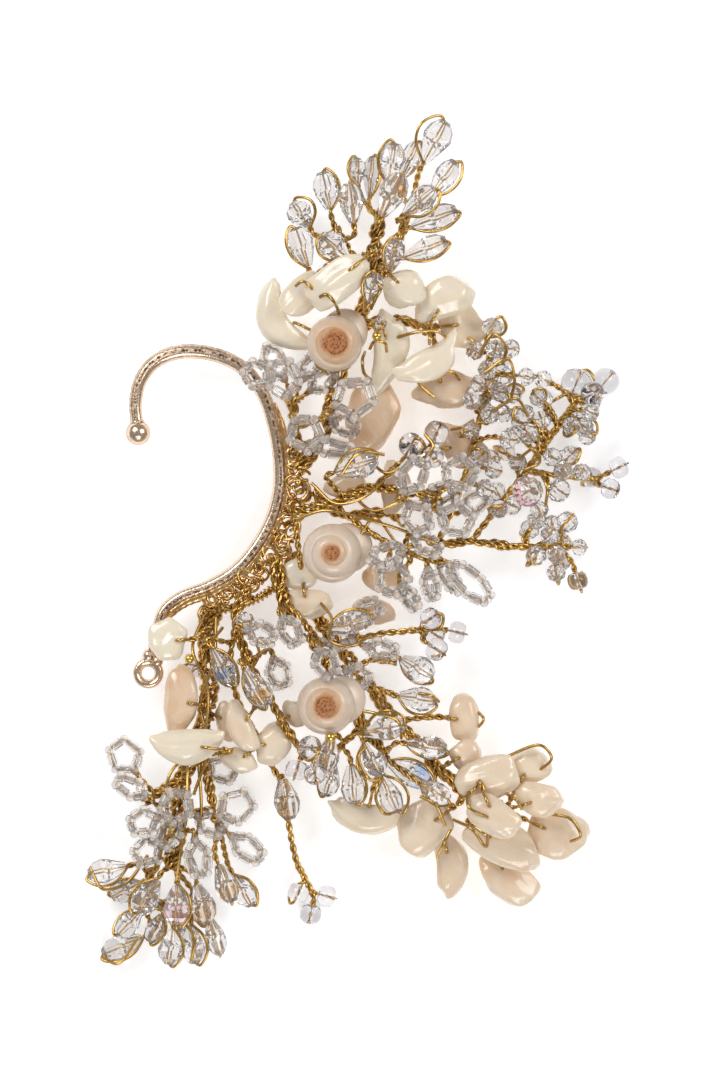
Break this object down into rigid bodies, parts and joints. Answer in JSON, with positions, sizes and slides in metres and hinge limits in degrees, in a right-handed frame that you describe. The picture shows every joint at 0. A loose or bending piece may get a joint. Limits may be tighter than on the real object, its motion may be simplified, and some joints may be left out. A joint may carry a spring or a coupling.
{
  "type": "ear cuff",
  "caption": "Cast hook that grips the ear, with a pierced lace carrying wired sprays of cut glass, bead petals, nacre chips and turban shells.",
  "frame": {"origin": "centre of the bounding box in plan, at the surface that the cuff lies on", "axes": "+X away from the hook towards the sprays' tips, +Y up the ear, +Z from the surface to the worn side"},
  "size_m": [0.0899, 0.1396, 0.0189],
  "materials": {
    "gold_cast": "pale gold plate over a fine hammered grain",
    "gold_wire": "bright antique gold wire",
    "crystal": "cut clear glass with a faint rainbow coat",
    "bead_glass": "silver-lined and pearl-lined glass",
    "nacre": "polished nacre, cream to peach",
    "shell": "polished shell with a brown point"
  },
  "bodies": {
    "root": {"ear_hook": "gold_cast", "binding_wire": "gold_wire", "upper_shell": "shell", "middle_shell": "shell", "lower_shell": "shell", "crown_spray": "crystal", "shoulder_bead_petals": "bead_glass", "rondelle_spray": "crystal", "middle_spray": "bead_glass", "nacre_spray": "gold_wire", "drop_spray": "crystal", "long_sprigs": "crystal", "tail_spray": "crystal", "crown_nacre_1": "nacre", "crown_nacre_2": "nacre", "crown_nacre_3": "nacre", "crown_nacre_4": "nacre", "crown_nacre_5": "nacre", "crown_nacre_6": "nacre", "crown_nacre_7": "nacre", "crown_nacre_8": "nacre", "crown_nacre_9": "nacre", "crown_nacre_10": "nacre", "middle_nacre_1": "nacre", "middle_nacre_2": "nacre", "middle_nacre_3": "nacre", "middle_nacre_4": "nacre", "lower_nacre_1": "nacre", "lower_nacre_2": "nacre", "lower_nacre_3": "nacre", "lower_nacre_4": "nacre", "lower_nacre_5": "nacre", "lower_nacre_6": "nacre", "lower_nacre_7": "nacre", "lower_nacre_8": "nacre", "lower_nacre_9": "nacre", "lower_nacre_10": "nacre", "lower_nacre_11": "nacre", "lower_nacre_12": "nacre", "drops_nacre_1": "nacre", "sprigs_nacre_1": "nacre", "sprigs_nacre_2": "nacre", "sprigs_nacre_3": "nacre", "sprigs_nacre_4": "nacre", "tail_nacre_1": "nacre", "tail_nacre_2": "nacre", "tail_nacre_3": "nacre", "tail_nacre_4": "nacre"}
  },
  "joints": []
}
